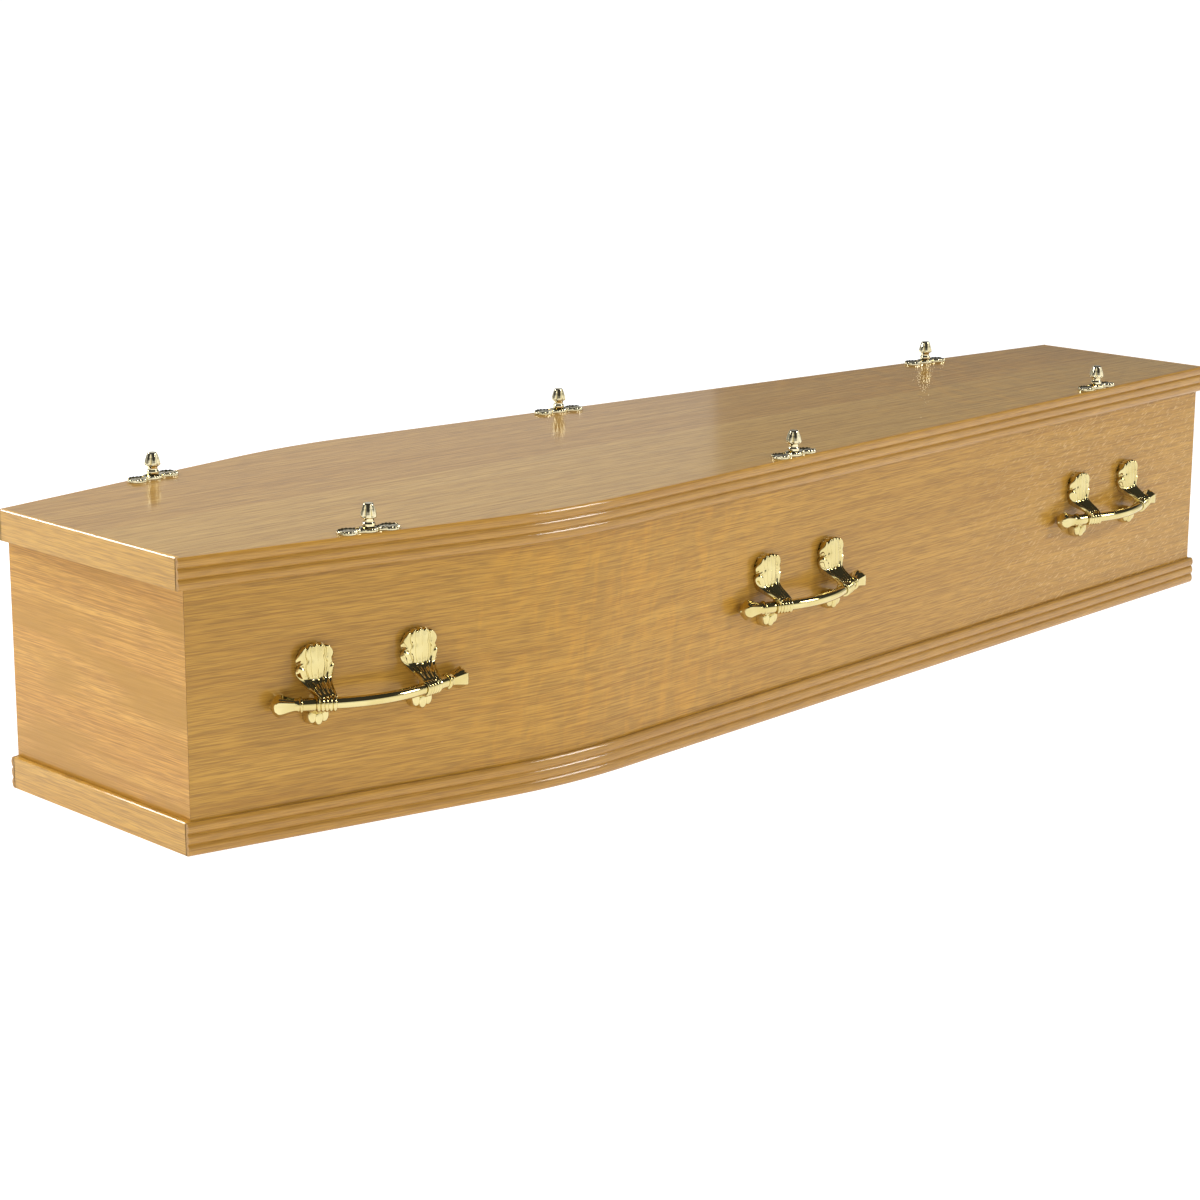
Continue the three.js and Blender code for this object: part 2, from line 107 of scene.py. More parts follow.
# %% Grids, shells and pieces
def quads(rows, columns, wrap_rows=False, wrap_columns=False):
    """Corners (i, j), (i + 1, j), (i + 1, j + 1) and (i, j + 1) of every cell of a grid, as point numbers."""
    i, j = np.meshgrid(np.arange(rows - (not wrap_rows)), np.arange(columns - (not wrap_columns)),
                       indexing="ij")
    below, beside = (i + 1) % rows, (j + 1) % columns
    cells = [i * columns + j, below * columns + j, below * columns + beside, i * columns + beside]
    return np.stack(cells, -1).reshape(-1, 4)


def shell(points, faces, caps=(), uv=None):
    """A closed surface: points (n, 3), four-sided faces, caps as lists of point numbers, and uv (n, 2)."""
    points = np.asarray(points, float).reshape(-1, 3)
    uv = points[:, [0, 2]] * MM if uv is None else np.asarray(uv, float).reshape(-1, 2)
    caps = [np.asarray(c) for c in caps]
    triangles = [faces[:, [0, 1, 2]], faces[:, [0, 2, 3]]]
    triangles += [np.stack([np.full(len(c) - 2, c[0]), c[1:-1], c[2:]], -1) for c in caps]
    a, b, c = points[np.concatenate(triangles)].transpose(1, 0, 2)
    if np.einsum("ij,ij->", a, np.cross(b, c)) < 0:
        faces, caps = faces[:, ::-1], [c[::-1] for c in caps]
    return {"points": points, "faces": faces, "caps": caps, "uv": uv}


def tube(points, uv=None):
    """A closed surface from a grid (rows, columns, 3) that wraps round along its columns. Its first and last
    rows are the caps that close it."""
    rows, columns = points.shape[:2]
    caps = [np.arange(columns), np.arange(columns)[::-1] + (rows - 1) * columns]
    return shell(points, quads(rows, columns, wrap_columns=True), caps, uv)


def joined(shells):
    """Several shells as one, with each one's point numbers moved on by the points before it."""
    starts = np.cumsum([0] + [len(s["points"]) for s in shells])
    return {
        "points": np.concatenate([s["points"] for s in shells]),
        "faces": np.concatenate([s["faces"] + start for s, start in zip(shells, starts)]),
        "caps": [c + start for s, start in zip(shells, starts) for c in s["caps"]],
        "uv": np.concatenate([s["uv"] for s in shells]),
    }


def moved(s, matrix, offset=(0, 0, 0)):
    """The shell with each point p at matrix · p + offset, its faces turned outwards again."""
    points = s["points"] @ np.asarray(matrix, float).T + np.asarray(offset, float)
    return shell(points, s["faces"], s["caps"], s["uv"])


def piece(name, s, finish, slot, *stands_for, sharp=35):
    """Puts a shell into a mesh object that rides with the coffin and stands for the named solids. Edges
    sharper than sharp, in degrees, stay crisp."""
    mesh = bpy.data.meshes.new(name)
    mesh.vertices.add(len(s["points"]))
    mesh.vertices.foreach_set("co", (s["points"] * MM).astype(np.float32).ravel())
    corners = np.concatenate([s["faces"].ravel()] + list(s["caps"]))
    counts = np.array([4] * len(s["faces"]) + [len(c) for c in s["caps"]])
    mesh.loops.add(len(corners))
    mesh.loops.foreach_set("vertex_index", corners.astype(np.int32))
    mesh.polygons.add(len(counts))
    mesh.polygons.foreach_set("loop_start", (np.cumsum(counts) - counts).astype(np.int32))
    mesh.update(calc_edges=True)
    uv_map = mesh.uv_layers.new(name="along_grain")
    uv_map.data.foreach_set("uv", s["uv"][corners].astype(np.float32).ravel())
    mesh.polygons.foreach_set("use_smooth", np.ones(len(counts), bool))
    mesh.set_sharp_from_angle(angle=math.radians(sharp))
    mesh.validate()
    made = bpy.data.objects.new(name, mesh)
    bpy.context.scene.collection.objects.link(made)
    mesh.materials.append(finish)
    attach(made, "root")
    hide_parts(*stands_for)


def angles_round(count):
    """That many angles, evenly round a circle."""
    return np.linspace(0, 2 * math.pi, count, endpoint=False)


def ramp(value, start, length):
    """From 0 at start to 1 a length further on, and held outside."""
    return np.clip((value - start) / length, 0, 1)


def smooth_curve(x, knots):
    """A smooth curve through (x, y) knots: between two knots it is the cubic with the mean slopes at both."""
    kx, ky = np.array(knots, float).T
    slope = np.gradient(ky, kx)
    x = np.clip(x, kx[0], kx[-1])
    k = np.clip(np.searchsorted(kx, x) - 1, 0, len(kx) - 2)
    step = kx[k + 1] - kx[k]
    t = (x - kx[k]) / step
    return ((2 * t**3 - 3 * t**2 + 1) * ky[k] + (t**3 - 2 * t**2 + t) * step * slope[k]
            + (3 * t**2 - 2 * t**3) * ky[k + 1] + (t**3 - t**2) * step * slope[k + 1])


print("a tube of 3 by 4 points has", len(quads(3, 4, wrap_columns=True)), "faces and two caps")

# %% [markdown]
# ## Finishes
# A finish is a tree of nodes. One small helper adds a node, sets its values and joins its inputs, so that
# a finish reads as a list of steps. Colours are written as they show on a screen and turned to the linear
# values that light adds up in.

# %% Helpers for finishes
def linear(hex_colour):
    """Screen colour #rrggbb to linear: c / 12.92 when dark, ((c + 0.055) / 1.055) ^ 2.4 otherwise."""
    c = np.array([int(hex_colour[i:i + 2], 16) for i in (1, 3, 5)]) / 255
    return (*np.where(c <= 0.04045, c / 12.92, ((c + 0.055) / 1.055) ** 2.4), 1.0)


def add_node(tree, kind, settings=None, **inputs):
    """Adds a node. An input is a value or another node's output socket. Names use _ for a space, and a
    number after a name, as in Value_1, is that input's place."""
    made = tree.nodes.new(kind)
    for key, value in (settings or {}).items():
        setattr(made, key, value)
    for key, value in inputs.items():
        name, _, place = key.rpartition("_")
        socket = made.inputs[int(place)] if place.isdigit() else made.inputs[key.replace("_", " ")]
        if isinstance(value, bpy.types.NodeSocket):
            tree.links.new(value, socket)
        else:
            socket.default_value = value
    return made


def new_finish(name):
    """An empty material and its node tree."""
    made = bpy.data.materials.new(name)
    made.use_nodes = True
    made.node_tree.nodes.clear()
    return made, made.node_tree


def layered(tree, colour, layers):
    """The colour under layers of others. A layer is (blend, pattern, low, high, most, over, where): as the
    pattern goes from low to high, the amount of the layer's own colour goes from none to most. Where names
    a second pattern, from 0 to 1, that the amount is multiplied by, or is None."""
    for blend, pattern, low, high, most, over, where in layers:
        amount = add_node(tree, "ShaderNodeMapRange", Value=pattern, From_Min=low, From_Max=high, To_Max=most)
        if where is not None:
            amount = add_node(tree, "ShaderNodeMath", {"operation": "MULTIPLY"}, Value_0=amount.outputs[0],
                              Value_1=where)
        colour = add_node(tree, "ShaderNodeMix", {"data_type": "RGBA", "blend_type": blend},
                          Factor_0=amount.outputs[0], A_6=colour, B_7=linear(over)).outputs[2]
    return colour


print("mid grey #808080 is", round(float(linear("#808080")[0]), 3), "in light")

# %% [markdown]
# ## Lacquered oak veneer
# Crown-cut oak shows three things along its grain: broad bands of growth rings a few centimetres wide,
# fine streaks a few millimetres wide, and pores, which are short dark dashes. A real pore is 0.3 mm wide,
# too fine to show from here, so it is drawn 1.2 mm wide. Across the grain lie paler ray flecks and a soft
# cross figure. Each is noise stretched along the grain. The lacquer over it is a thin clear coat.

# %% The oak finish
PORE_LENGTH, PORE_WIDTH, PORE_DEPTH = 32.0, 1.2, 0.12
STREAK_LENGTH, STREAK_WIDTH = 240.0, 2.4
BAND_LENGTH, BAND_WIDTH = 700.0, 36.0
FLECK_LENGTH, FLECK_WIDTH, FLECK_TURN = 11.0, 1.6, -24
FIGURE_LENGTH, FIGURE_WIDTH, FIGURE_TURN = 26.0, 60.0, 14
PATCH_LENGTH, PATCH_WIDTH = 210.0, 48.0
FIGURE_NEAR, FIGURE_FAR = 0.12, 0.40  # metres from the shoulder, where the cross figure is full and gone
PATCH_COLOUR, FLECK_COLOUR, FIGURE_COLOUR, FAR_LEAF_COLOUR = "#b08026", "#d6b272", "#f0dcae", "#eee4d0"


def stretched_noise(tree, coords, length, width, detail=3.0, distortion=0.0, turn=0.0):
    """Noise whose blobs are about length mm along the grain and width mm across it."""
    scale = (1 / (length * MM), 1 / (width * MM), 1.0)
    turned = add_node(tree, "ShaderNodeMapping", Vector=coords, Rotation=(0, 0, math.radians(turn)))
    placed = add_node(tree, "ShaderNodeMapping", Vector=turned.outputs[0], Scale=scale)
    return add_node(tree, "ShaderNodeTexNoise", Vector=placed.outputs[0], Scale=1.0, Detail=detail,
                    Roughness=0.55, Distortion=distortion).outputs["Fac"]


def oak(name, pale, mid, deep, pore="#7a5620", seed=0.0, flecks_past=None, figure_round=None, leaves=False,
        coat=0.5, gloss=0.16, patches=0.0, pored=0.58, streaked=0.5):
    """Oak veneer under satin lacquer. The grain runs along the first axis of the uv map, in metres, and seed
    moves it on, so that no two finishes share it. Ray flecks show past one length along it, and a soft cross
    figure round another. The lacquer is the only shiny surface, so the wood under it has little shine."""
    made, tree = new_finish(name)
    start = add_node(tree, "ShaderNodeUVMap", {"uv_map": "along_grain"}).outputs[0]
    along, across = add_node(tree, "ShaderNodeSeparateXYZ", Vector=start).outputs[:2]
    coords = add_node(tree, "ShaderNodeMapping", Vector=start, Location=(seed, seed * 0.37, seed)).outputs[0]
    if leaves:  # the leaf beyond the joint is another piece of the same veneer
        far = add_node(tree, "ShaderNodeMath", {"operation": "GREATER_THAN"}, Value_0=across,
                       Value_1=0.0).outputs[0]
        shift = add_node(tree, "ShaderNodeCombineXYZ", X=far, Y=far, Z=far)
        coords = add_node(tree, "ShaderNodeVectorMath", {"operation": "ADD"}, Vector_0=coords,
                          Vector_1=shift.outputs[0]).outputs[0]
    bands = stretched_noise(tree, coords, BAND_LENGTH, BAND_WIDTH, 2.0, 0.5)
    streaks = stretched_noise(tree, coords, STREAK_LENGTH, STREAK_WIDTH, 4.0, 0.2)
    pores = stretched_noise(tree, coords, PORE_LENGTH, PORE_WIDTH, 1.5)
    layers = [("MIX", bands, 0.3, 0.7, 1.0, mid, None), ("MIX", streaks, 0.44, 0.66, streaked, deep, None),
              ("MIX", pores, 0.40, 0.68, pored, pore, None)]
    if leaves:
        layers.append(("MULTIPLY", far, 0.0, 1.0, 0.7, FAR_LEAF_COLOUR, None))
    if patches:
        patch = stretched_noise(tree, coords, PATCH_LENGTH, PATCH_WIDTH, 1.0, 0.4)
        layers.append(("MIX", patch, 0.50, 0.62, patches, PATCH_COLOUR, None))
    if figure_round is not None:
        away = add_node(tree, "ShaderNodeMath", {"operation": "SUBTRACT"}, Value_0=along, Value_1=figure_round)
        away = add_node(tree, "ShaderNodeMath", {"operation": "ABSOLUTE"}, Value_0=away.outputs[0]).outputs[0]
        near = add_node(tree, "ShaderNodeMapRange", Value=away, From_Min=FIGURE_NEAR, From_Max=FIGURE_FAR,
                        To_Min=1.0, To_Max=0.0).outputs[0]
        ripple = stretched_noise(tree, coords, FIGURE_LENGTH, FIGURE_WIDTH, 3.0, 1.0, FIGURE_TURN)
        layers.append(("SOFT_LIGHT", ripple, 0.42, 0.68, 0.42, FIGURE_COLOUR, near))
    if flecks_past is not None:
        rays = stretched_noise(tree, coords, FLECK_LENGTH, FLECK_WIDTH, 0.5, 0.3, FLECK_TURN)
        past = add_node(tree, "ShaderNodeMapRange", Value=along, From_Min=flecks_past - 0.1,
                        From_Max=flecks_past + 0.2).outputs[0]
        layers.append(("MIX", rays, 0.62, 0.70, 0.5, FLECK_COLOUR, past))
    sunk = add_node(tree, "ShaderNodeMapRange", Value=pores, From_Min=0.5, From_Max=0.72, To_Min=1.0,
                    To_Max=0.0)
    relief = add_node(tree, "ShaderNodeBump", Strength=0.2, Distance=PORE_DEPTH * MM, Height=sunk.outputs[0])
    rough = add_node(tree, "ShaderNodeMapRange", Value=streaks, From_Min=0.3, From_Max=0.7, To_Min=0.42,
                     To_Max=0.52)
    surface = add_node(tree, "ShaderNodeBsdfPrincipled", Base_Color=layered(tree, linear(pale), layers),
                       IOR=1.5, Specular_IOR_Level=0.2, Coat_Weight=coat, Coat_Roughness=gloss,
                       Normal=relief.outputs[0], Roughness=rough.outputs[0])
    add_node(tree, "ShaderNodeOutputMaterial", Surface=surface.outputs[0])
    return made


side_oak = oak("oak_veneer_side", "#bc8e38", "#b28430", "#906222", seed=1.7, flecks_past=1.35,
               figure_round=0.62)
end_oak = oak("oak_veneer_end", "#d8a448", "#ce963a", "#a87222", pore="#926424", seed=5.2, patches=0.8,
              pored=0.6, streaked=0.7)
lid_oak = oak("oak_veneer_lid", "#be984c", "#b68e42", "#96702e", pore="#7c5a26", seed=9.4, leaves=True,
              figure_round=0.62, pored=0.7, streaked=0.7, coat=0.7, gloss=0.14)
band_oak = oak("oak_finish_moulding", "#b88a3a", "#ae8030", "#906222", seed=13.1, coat=0.7, gloss=0.1,
               pored=0.5)
end_band_oak = oak("oak_finish_strip", "#d2a244", "#c8963a", "#a87a2c", pore="#8a6228", seed=21.3, coat=0.7,
                   gloss=0.1, pored=0.55)
inner_oak = oak("oak_veneer_inner", "#c49a60", "#b98c50", "#a67a42", seed=17.6, coat=0.0)
print("oak finishes:", [m.name for m in bpy.data.materials])

# %% [markdown]
# ## Polished metal
# The handles are polished brass under lacquer: a warm yellow mirror, with faint cloudiness from handling.
# The lid screws are a paler and brighter plate.

# %% The metal finishes
def metal(name, colour, tarnish, roughness, cloud_mm):
    """Polished metal, a little duller and darker in soft clouds about cloud_mm across."""
    made, tree = new_finish(name)
    coords = add_node(tree, "ShaderNodeTexCoord").outputs["Object"]
    clouds = add_node(tree, "ShaderNodeTexNoise", Vector=coords, Scale=1 / (cloud_mm * MM), Detail=2.0)
    tone = layered(tree, linear(colour), [("MIX", clouds.outputs[0], 0.35, 0.75, 1.0, tarnish, None)])
    rough = add_node(tree, "ShaderNodeMapRange", Value=clouds.outputs[0], From_Min=0.3, From_Max=0.7,
                     To_Min=roughness * 0.7, To_Max=roughness * 1.4)
    surface = add_node(tree, "ShaderNodeBsdfPrincipled", Base_Color=tone, Metallic=1.0,
                       Roughness=rough.outputs[0])
    add_node(tree, "ShaderNodeOutputMaterial", Surface=surface.outputs[0])
    return made


brass = metal("polished_brass", "#d8ca92", "#ccba7c", 0.06, 30)
plate = metal("pale_gold_plate", "#ece2be", "#e0d2a4", 0.06, 20)
print("metal finishes:", brass.name, plate.name)

# %% [markdown]
# ## The boards
# In plan a long side runs straight from the head end, round a gentle bend at the shoulder and straight on
# to the foot. The same plan, moved in or out, gives both faces of the side panel, the edge of the lid and
# every line of the moulding, so a profile of [out, up] pairs can be carried along it. The real shoulder is
# bent by sawing grooves on the inside of the board. Only its smooth outside shows.

# %% The plan of a side
head_normal = np.array([(HEAD_WIDTH - SHOULDER_WIDTH) / 2, SHOULDER_AT])
head_normal /= np.linalg.norm(head_normal)
foot_normal = np.array([(SHOULDER_WIDTH - FOOT_WIDTH) / 2, BODY_LENGTH - SHOULDER_AT])
foot_normal /= np.linalg.norm(foot_normal)
bend_centre = (np.array([SHOULDER_AT, SHOULDER_WIDTH / 2])
               - (head_normal + foot_normal) * BEND_RADIUS / (1 + head_normal @ foot_normal))
print("the side bends by", round(math.degrees(math.acos(head_normal @ foot_normal)), 1), "degrees")


def line_y(normal, out, x):
    """y on the straight with that outward normal, moved out by out: the start's y less nx / ny for each mm."""
    start = bend_centre[:, None] + np.outer(normal, BEND_RADIUS + np.atleast_1d(out))
    return start[1] - normal[0] / normal[1] * (x - start[0])


def side_plan(out, x_head, x_foot, arc_steps=28, straight_steps=8):
    """Plan points (stations, len(out), 2): evenly along the head straight, by angle round the bend, then
    evenly along the foot straight. x counts from the outside of the head end."""
    out = np.atleast_1d(np.asarray(out, float))
    angles = np.linspace(math.atan2(*head_normal[::-1]), math.atan2(*foot_normal[::-1]), arc_steps + 1)
    arc = np.stack([np.cos(angles), np.sin(angles)], -1)[:, None] * (BEND_RADIUS + out)[None, :, None]
    arc += bend_centre
    share = np.linspace(0, 1, straight_steps, endpoint=False)[:, None]
    head = np.stack([x_head + 0 * out, line_y(head_normal, out, x_head)], -1)
    foot = np.stack([x_foot + 0 * out, line_y(foot_normal, out, x_foot)], -1)
    to_bend = head + share[..., None] * (arc[0] - head)
    from_bend = foot + share[::-1][..., None] * (arc[-1] - foot)
    return np.concatenate([to_bend, arc, from_bend])


def swept(plan, ups):
    """A closed board or moulding: every plan point (stations, profile, 2) with its height, and both ends
    closed. The uv map is the length along the middle of the plan and the way round the profile."""
    points = np.concatenate([plan, np.broadcast_to(ups, plan.shape[:2])[..., None]], -1)
    points[..., 0] -= BODY_LENGTH / 2
    along = np.concatenate([[0], np.cumsum(np.linalg.norm(np.diff(plan.mean(1), axis=0), axis=1))])
    ring = points[len(points) // 2]
    way = np.concatenate([[0], np.cumsum(np.linalg.norm(np.diff(ring, axis=0), axis=1))])
    return tube(points, np.stack(np.broadcast_arrays(along[:, None], way[None, :]), -1) * MM)


def rounded_rectangle(low, high, radius, steps=3):
    """A loop of points: quarter circles of that radius round the four corners."""
    (x0, y0), (x1, y1) = low, high
    turn = np.linspace(0, math.pi / 2, steps + 1)
    corners = [(x1 - radius, y0 + radius, -math.pi / 2), (x1 - radius, y1 - radius, 0),
               (x0 + radius, y1 - radius, math.pi / 2), (x0 + radius, y0 + radius, math.pi)]
    return np.concatenate([np.stack([x + radius * np.cos(turn + a), y + radius * np.sin(turn + a)], -1)
                           for x, y, a in corners])


MIRROR_Y = np.diag([1, -1, 1])

# %% Side panels
side_profile = rounded_rectangle((-BOARD, 0), (0, BODY_HEIGHT), PANEL_EDGE_ROUND)
side = swept(side_plan(side_profile[:, 0], -side_profile[:, 0], BODY_LENGTH + side_profile[:, 0]),
             side_profile[:, 1])
piece("side_veneer_left", side, side_oak, "oak_veneer", "side_panel_left")
piece("side_veneer_right", moved(side, MIRROR_Y), side_oak, "oak_veneer", "side_panel_right")
print("side panel faces:", len(side["faces"]))

# %% [markdown]
# The head and foot panels are mitred to the sides, so that no end grain shows at the corners. The base and
# the lid are flat boards with the plan of the sides, the base inside the walls and the lid over them.

# %% Head and foot panels, base and lid
ACROSS_END, ACROSS_STRIP, ACROSS_BOARD = 9, 7, 12


def end_board(x_out, x_in):
    """A board mitred to the sides: its profile in [x, z] is carried across, and at each depth into the board
    it reaches the side's own surface at that depth, less the gap."""
    normal = head_normal if x_out < SHOULDER_AT else foot_normal
    ring = rounded_rectangle((min(x_out, x_in), 0), (max(x_out, x_in), BODY_HEIGHT), END_EDGE_ROUND)
    reach = np.array([line_y(normal, -abs(x - x_out), x)[0] for x in ring[:, 0]]) - GAP * math.sqrt(2)
    sides = np.linspace(-1, 1, ACROSS_END)[:, None] * reach
    points = np.stack(np.broadcast_arrays(ring[:, 0] - BODY_LENGTH / 2, sides, ring[:, 1]), -1)
    return tube(points, points[..., [1, 2]] * MM)


def flat_board(out, x_head, x_foot, bottom, top):
    """A board with both sides on the plan: at each station a strip across the top, and back underneath."""
    edge = side_plan(out, x_head, x_foot)[:, 0]
    share = np.linspace(-1, 1, ACROSS_BOARD + 1)
    share = np.concatenate([share, np.linspace(1, -1, ACROSS_BOARD + 1)])
    height = np.repeat([top, bottom], ACROSS_BOARD + 1)
    points = np.stack(np.broadcast_arrays(edge[:, :1] - BODY_LENGTH / 2, edge[:, 1:] * share, height), -1)
    return tube(points, points[..., :2] * MM)


piece("head_veneer", end_board(0, BOARD), end_oak, "oak_veneer", "head_panel")
piece("foot_veneer", end_board(BODY_LENGTH, BODY_LENGTH - BOARD), end_oak, "oak_veneer", "foot_panel")
inset = BOARD + GAP
piece("base_veneer", flat_board(-inset, inset, BODY_LENGTH - inset, 0, BOARD), inner_oak, "oak_veneer",
      "base_board")
lid = flat_board(LID_SIDE_OVERLAP, -LID_END_OVERLAP, BODY_LENGTH + LID_END_OVERLAP, LID_BOTTOM, LID_TOP)
piece("lid_veneer", lid, lid_oak, "oak_veneer", "lid_board")
print("lid faces:", len(lid["faces"]))

# %% [markdown]
# ## Beaded mouldings and flat strips
# The moulding along each side has three rounded beads with small grooves between them. The beads catch the
# light in long thin lines at the shoulder, so each is a true arc here and its grooves stay sharp. The strips
# across the ends are flat, with an eased upper edge that shows as a thin bright line. The mouldings run
# past them and are cut off flush with their faces, so that each corner shows the beads' outline.

# %% Mouldings and strips round the lid and the base
STRIP_GRAIN_SHIFT = 0.31  # metres by which the grain is moved on along the strips


def beads(height, steps=12):
    """[out, up] loop: a flat back, and arcs one above the other. An arc's radius follows from its pitch p and
    relief r: (p²/4 + r²) / 2r."""
    pitch = height / BEADS
    radius = (pitch**2 / 4 + BEAD_RELIEF**2) / (2 * BEAD_RELIEF)
    angle = math.asin(pitch / 2 / radius) * np.linspace(-1, 1, steps + 1)
    up = pitch * (0.5 + np.arange(BEADS))[:, None] + radius * np.sin(angle)
    out = np.broadcast_to(MOULDING_OUT - radius * (1 - np.cos(angle)), up.shape)
    face = np.stack([out.ravel(), up.ravel()], -1)
    keep = np.append(True, np.abs(np.diff(face[:, 1])) > 1e-6)
    return np.concatenate([[[0, 0]], face[keep], [[0, height]]])


def strip_profile(height):
    """[out, up] loop of a flat strip, with a little cut off its upper front edge at 45 degrees."""
    return np.array([[0, 0], [STRIP_OUT, 0], [STRIP_OUT, height - STRIP_EDGE], [STRIP_OUT - STRIP_EDGE, height],
                     [0, height]])


def band(name, side_out, end_out, bottom, height):
    """The four lengths round the body: two mouldings along the sides and two strips across the ends."""
    loop = beads(height)
    reach_past = end_out + STRIP_OUT
    along = swept(side_plan(side_out + loop[:, 0], -reach_past, BODY_LENGTH + reach_past), loop[:, 1] + bottom)
    piece(f"{name}_band_left", along, band_oak, "oak_moulding", f"{name}_moulding_left", sharp=25)
    piece(f"{name}_band_right", moved(along, MIRROR_Y), band_oak, "oak_moulding",
          f"{name}_moulding_right", sharp=25)
    loop = strip_profile(height)
    for end, x_end, way, normal in (("head", -end_out, -1, head_normal),
                                    ("foot", BODY_LENGTH + end_out, 1, foot_normal)):
        x = x_end + way * loop[:, 0]
        reach = line_y(normal, side_out, x)[0] - STRIP_JOINT
        across = np.linspace(-1, 1, ACROSS_STRIP)[:, None] * reach
        points = np.stack(np.broadcast_arrays(x - BODY_LENGTH / 2, across, loop[:, 1] + bottom), -1)
        strip = tube(points, points[..., [1, 2]] * MM + STRIP_GRAIN_SHIFT)
        piece(f"{name}_strip_{end}", strip, end_band_oak, "oak_moulding", f"{name}_moulding_{end}", sharp=40)
    print(name, "band:", len(along["faces"]), "faces a side")


band("lid", LID_SIDE_OVERLAP + GAP, LID_END_OVERLAP + GAP, LID_TOP - LID_BAND, LID_BAND)
band("base", GAP, GAP, 0, BASE_BAND)

# %% [markdown]
# ## The bar handles
# A handle is three castings: a bar that bows outwards, and a bracket near each end. They are worked out
# once, in a frame where X runs along the panel, Y out from it and Z up, and then set on all six places.
# The bar is a circle carried along its path. Past each bracket it has a ring, and then a finial like a
# closed tulip with six hollow sides.

# %% The bar
half_spacing = BRACKET_SPACING / 2
STRAIGHT_IN = COLLAR_WIDTH / 2 + 1
arc_radius = (half_spacing - STRAIGHT_IN * math.cos(BAR_SPLAY)) / math.sin(BAR_SPLAY)
RING_AT, RING_WIDTH, RING_RADIUS, SLEEVE = 26.5, 4.0, 9.5, 0.8
FINIAL_LENGTH, FINIAL_SIDES, FINIAL_HOLLOW = 33.0, 6, 0.10
FINIAL = [(30.5, 8.1), (34, 8.0), (38, 8.7), (42, 9.9), (46, 11.3), (50, 12.7), (52.5, 13.2), (54.5, 12.8),
          (57, 11.0), (59.5, 8.0), (61.2, 5.0), (62.2, 3.2), (63.5, 1.8)]  # along the bar, and radius


def bar_shell(around=60):
    """Circles of radius r(s) across the path. The path is an arc between the brackets and straight past
    them. On the finial r is less between six ridges: r (1 - d (1 - |sin 3a|⁸)), with d the sides' hollow."""
    past = np.concatenate([np.linspace(-STRAIGHT_IN, 26, 22), np.linspace(26.5, 31, 14),
                           np.linspace(31.5, RING_AT + RING_WIDTH + FINIAL_LENGTH, 46)])
    bump = np.clip(1 - ((past - RING_AT - RING_WIDTH / 2) / (RING_WIDTH / 2)) ** 2, 0, 1) ** 0.5
    sleeve = BAR_RADIUS + SLEEVE * ramp(past, STRAIGHT_IN, 0.8)
    radius = np.where(past > FINIAL[0][0], smooth_curve(past, FINIAL), sleeve + (RING_RADIUS - sleeve) * bump)
    hollow = FINIAL_HOLLOW * ramp(past, 32, 4) * np.clip((60.5 - past) / 3, 0, 1)
    direction = np.array([math.cos(BAR_SPLAY), -math.sin(BAR_SPLAY)])
    centre = np.array([half_spacing, 0]) + past[:, None] * direction
    bend = np.linspace(-BAR_SPLAY, BAR_SPLAY, 30)[1:-1]
    rise = arc_radius * (np.cos(bend) - math.cos(BAR_SPLAY)) + STRAIGHT_IN * math.sin(BAR_SPLAY)
    middle = np.stack([arc_radius * np.sin(bend), rise], -1)
    path = np.concatenate([(centre * [-1, 1])[::-1], middle, centre])
    radius = np.concatenate([radius[::-1], np.full(len(bend), BAR_RADIUS), radius])
    hollow = np.concatenate([hollow[::-1], np.zeros(len(bend)), hollow])
    ahead = np.gradient(path, axis=0)
    ahead /= np.linalg.norm(ahead, axis=1)[:, None]
    angle = angles_round(around)
    r = radius[:, None] * (1 - hollow[:, None] * (1 - np.abs(np.sin(FINIAL_SIDES / 2 * angle)) ** 8))
    side_way = np.stack([-ahead[:, 1], ahead[:, 0]], -1)
    flat = path[:, None] + side_way[:, None] * (r * np.cos(angle))[..., None]
    points = np.concatenate([flat, (r * np.sin(angle))[..., None]], -1)
    return tube(points)


bar = bar_shell()
print("bar faces:", len(bar["faces"]), "length in mm:", round(float(np.ptp(bar["points"][:, 0])), 1))

# %% [markdown]
# ## The bracket
# The bracket is a leaf with a scalloped top, a ribbed collar that the bar goes through, and a short arm that
# ends in three small lobes on the panel. The leaf is a grid: one way across it, the other way up it. Its
# outline is the grid's own edge, and its front is a lean, a crown, grooves and folds added together.

# %% The leaf
LEAF_FOOT, LEAF_SHOULDER, LEAF_TOP, LEAF_LOBES = 5.0, 56.0, 64.4, 5
LEAF_WIDTH = [(5, 12.4), (9, 12.8), (13, 13.8), (17, 15.6), (21, 18.0), (25, 20.4), (29, 22.6), (34, 24.2),
              (38, 23.6), (41, 21.6), (42.5, 21.4), (45, 23.0), (49, 23.8), (52, 22.8), (54, 20.8),
              (56, 18.6)]  # height, and half the width there
LEAF_LEAN = [(5, 36.2), (8, 35.4), (11, 33.0), (14, 29.0), (17, 24.0), (20, 18.8), (23, 14.4), (26, 11.8),
             (29, 10.9), (36, 10.6), (45, 10.4), (55, 9.8), (68, 8.6)]  # height, and how far out the front is
LOBE_RISE, ZIGZAG, CROWN, GROOVE, FLUTE, VALLEY = 2.6, 2.4, 4.6, 1.9, 1.5, 1.7
NOTCH, FOLD, SWELL, RIM, SIDE_ROLL, NECK_ROLL, TOP_ROLL = 0.9, 1.5, 1.2, 2.4, 3.4, 2.0, 3.0


